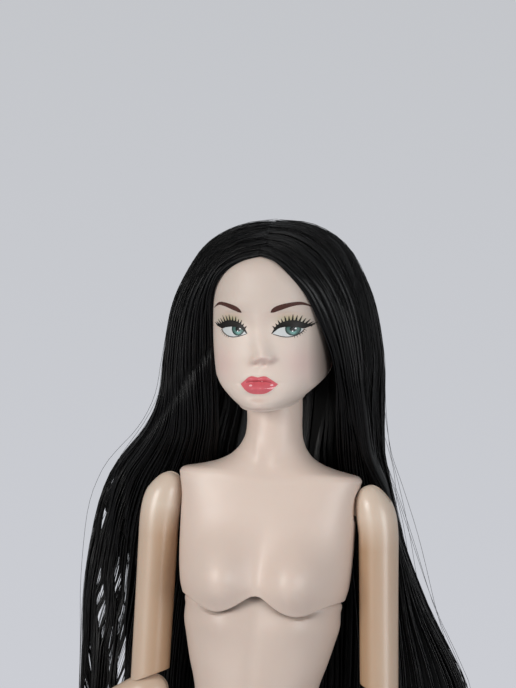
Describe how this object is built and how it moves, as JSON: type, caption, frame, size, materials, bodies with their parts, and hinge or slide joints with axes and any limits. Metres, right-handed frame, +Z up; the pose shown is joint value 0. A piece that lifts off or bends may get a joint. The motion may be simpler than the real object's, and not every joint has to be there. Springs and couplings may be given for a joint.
{
  "type": "fashion doll",
  "caption": "Articulated fashion doll with a slim moulded body, jointed neck, torso, arms and legs, and long straight dark hair.",
  "frame": {"origin": "middle of the waist, where a doll stand's clip grips the body; the soles are 191 mm below it", "axes": "+Z up through the body, the doll faces -Y, its left side is +X"},
  "size_m": [0.1201, 0.0447, 0.3001],
  "materials": {
    "torso_plastic": "satin, smooth moulded skin tone",
    "limb_plastic": "slightly glossier and yellower skin tone",
    "face_vinyl": "soft matte vinyl with painted eyes, brows and lips",
    "hair_fibre": "glossy straight black fibre",
    "joint_plastic": "plain moulded skin tone"
  },
  "bodies": {
    "lower_torso": {"abdomen_front": "torso_plastic", "abdomen_back": "torso_plastic", "hip_axle": "joint_plastic"},
    "torso_ball": {"torso_ball": "joint_plastic"},
    "upper_torso": {"chest_front": "torso_plastic", "chest_back": "torso_plastic", "hair_nape": "hair_fibre", "hair_fall_right": "hair_fibre", "hair_fall_middle": "hair_fibre", "hair_fall_left": "hair_fibre"},
    "neck_knob": {"neck_knob": "joint_plastic"},
    "head": {"head": "face_vinyl", "hair_cap": "hair_fibre"},
    "shoulder_hub_right": {"shoulder_hub_right": "joint_plastic"},
    "upper_arm_right": {"upper_arm_right": "limb_plastic", "shoulder_pin_right": "joint_plastic"},
    "elbow_knuckle_right": {"elbow_knuckle_right": "joint_plastic"},
    "forearm_right": {"forearm_right": "limb_plastic", "elbow_pin_right": "joint_plastic"},
    "hand_right": {"hand_right": "limb_plastic", "wrist_peg_right": "joint_plastic"},
    "hip_hub_right": {"hip_hub_right": "joint_plastic"},
    "thigh_right": {"thigh_right": "limb_plastic", "hip_pin_right": "joint_plastic", "knee_pin_right": "joint_plastic"},
    "shin_right": {"shin_right": "limb_plastic"},
    "foot_right": {"foot_right": "limb_plastic", "ankle_pin_right": "joint_plastic"},
    "shoulder_hub_left": {"shoulder_hub_left": "joint_plastic"},
    "upper_arm_left": {"upper_arm_left": "limb_plastic", "shoulder_pin_left": "joint_plastic"},
    "elbow_knuckle_left": {"elbow_knuckle_left": "joint_plastic"},
    "forearm_left": {"forearm_left": "limb_plastic", "elbow_pin_left": "joint_plastic"},
    "hand_left": {"hand_left": "limb_plastic", "wrist_peg_left": "joint_plastic"},
    "hip_hub_left": {"hip_hub_left": "joint_plastic"},
    "thigh_left": {"thigh_left": "limb_plastic", "hip_pin_left": "joint_plastic", "knee_pin_left": "joint_plastic"},
    "shin_left": {"shin_left": "limb_plastic"},
    "foot_left": {"foot_left": "limb_plastic", "ankle_pin_left": "joint_plastic"}
  },
  "joints": [
    {"name": "torso_twist", "type": "hinge", "parent": "lower_torso", "child": "torso_ball", "pos_m": [0, 0, 0.038], "axis": [0, 0, 1], "range_deg": [-4, 4]},
    {"name": "torso_lean", "type": "hinge", "parent": "torso_ball", "child": "upper_torso", "pos_m": [0, 0, 0.038], "axis": [1, 0, 0], "range_deg": [-3.5, 3.5]},
    {"name": "neck_nod", "type": "hinge", "parent": "upper_torso", "child": "neck_knob", "pos_m": [0, 0, 0.0685], "axis": [0.9981, 0, 0.061], "range_deg": [-12, 12], "deforming": ["hair_cap", "hair_nape", "hair_fall_right", "hair_fall_middle", "hair_fall_left"]},
    {"name": "head_turn", "type": "hinge", "parent": "neck_knob", "child": "head", "pos_m": [0, 0, 0.0685], "axis": [-0.061, 0, 0.9981], "range_deg": [-60, 60]},
    {"name": "shoulder_swing_right", "type": "hinge", "parent": "upper_torso", "child": "shoulder_hub_right", "pos_m": [-0.024, 0, 0.048], "axis": [-1, 0, 0], "range_deg": [-25, 150]},
    {"name": "shoulder_raise_right", "type": "hinge", "parent": "shoulder_hub_right", "child": "upper_arm_right", "pos_m": [-0.024, 0, 0.048], "axis": [0, 1, 0], "range_deg": [0, 80]},
    {"name": "elbow_swivel_right", "type": "hinge", "parent": "upper_arm_right", "child": "elbow_knuckle_right", "pos_m": [-0.02423, 0, 0.0047], "axis": [0.0052, 0, 1], "range_deg": [-25, 100]},
    {"name": "elbow_bend_right", "type": "hinge", "parent": "elbow_knuckle_right", "child": "forearm_right", "pos_m": [-0.02423, 0, 0.0047], "axis": [0, 1, 0], "range_deg": [-62, 28]},
    {"name": "wrist_turn_right", "type": "hinge", "parent": "forearm_right", "child": "hand_right", "pos_m": [-0.05654, 0, -0.01227], "axis": [0.8854, 0, 0.4648], "range_deg": [-80, 80]},
    {"name": "shoulder_swing_left", "type": "hinge", "parent": "upper_torso", "child": "shoulder_hub_left", "pos_m": [0.024, 0, 0.048], "axis": [-1, 0, 0], "range_deg": [-25, 150]},
    {"name": "shoulder_raise_left", "type": "hinge", "parent": "shoulder_hub_left", "child": "upper_arm_left", "pos_m": [0.024, 0, 0.048], "axis": [0, -1, 0], "range_deg": [-3, 80]},
    {"name": "elbow_swivel_left", "type": "hinge", "parent": "upper_arm_left", "child": "elbow_knuckle_left", "pos_m": [0.02664, 0, 0.00478], "axis": [0.061, 0, -0.9981], "range_deg": [-30, 60]},
    {"name": "elbow_bend_left", "type": "hinge", "parent": "elbow_knuckle_left", "child": "forearm_left", "pos_m": [0.02664, 0, 0.00478], "axis": [-0.9981, 0, -0.061], "range_deg": [0, 90]},
    {"name": "wrist_turn_left", "type": "hinge", "parent": "forearm_left", "child": "hand_left", "pos_m": [0.02887, 0, -0.03165], "axis": [-0.061, 0, 0.9981], "range_deg": [-80, 80]},
    {"name": "hip_swing_right", "type": "hinge", "parent": "lower_torso", "child": "hip_hub_right", "pos_m": [-0.0115, 0, -0.031], "axis": [-1, 0, 0], "range_deg": [-12, 80]},
    {"name": "hip_spread_right", "type": "hinge", "parent": "hip_hub_right", "child": "thigh_right", "pos_m": [-0.0115, 0, -0.031], "axis": [0, 1, 0], "range_deg": [0, 25]},
    {"name": "knee_bend_right", "type": "hinge", "parent": "thigh_right", "child": "shin_right", "pos_m": [-0.0083, 0, -0.107], "axis": [1, 0, 0], "range_deg": [0, 95]},
    {"name": "ankle_bend_right", "type": "hinge", "parent": "shin_right", "child": "foot_right", "pos_m": [-0.0089, 0, -0.1695], "axis": [0.9945, -0.1045, 0], "range_deg": [-15, 15]},
    {"name": "hip_swing_left", "type": "hinge", "parent": "lower_torso", "child": "hip_hub_left", "pos_m": [0.0115, 0, -0.031], "axis": [-1, 0, 0], "range_deg": [-12, 80]},
    {"name": "hip_spread_left", "type": "hinge", "parent": "hip_hub_left", "child": "thigh_left", "pos_m": [0.0115, 0, -0.031], "axis": [0, -1, 0], "range_deg": [0, 25]},
    {"name": "knee_bend_left", "type": "hinge", "parent": "thigh_left", "child": "shin_left", "pos_m": [0.0083, 0, -0.107], "axis": [1, 0, 0], "range_deg": [0, 95]},
    {"name": "ankle_bend_left", "type": "hinge", "parent": "shin_left", "child": "foot_left", "pos_m": [0.0089, 0, -0.1695], "axis": [0.9945, 0.1045, 0], "range_deg": [-15, 15]}
  ]
}
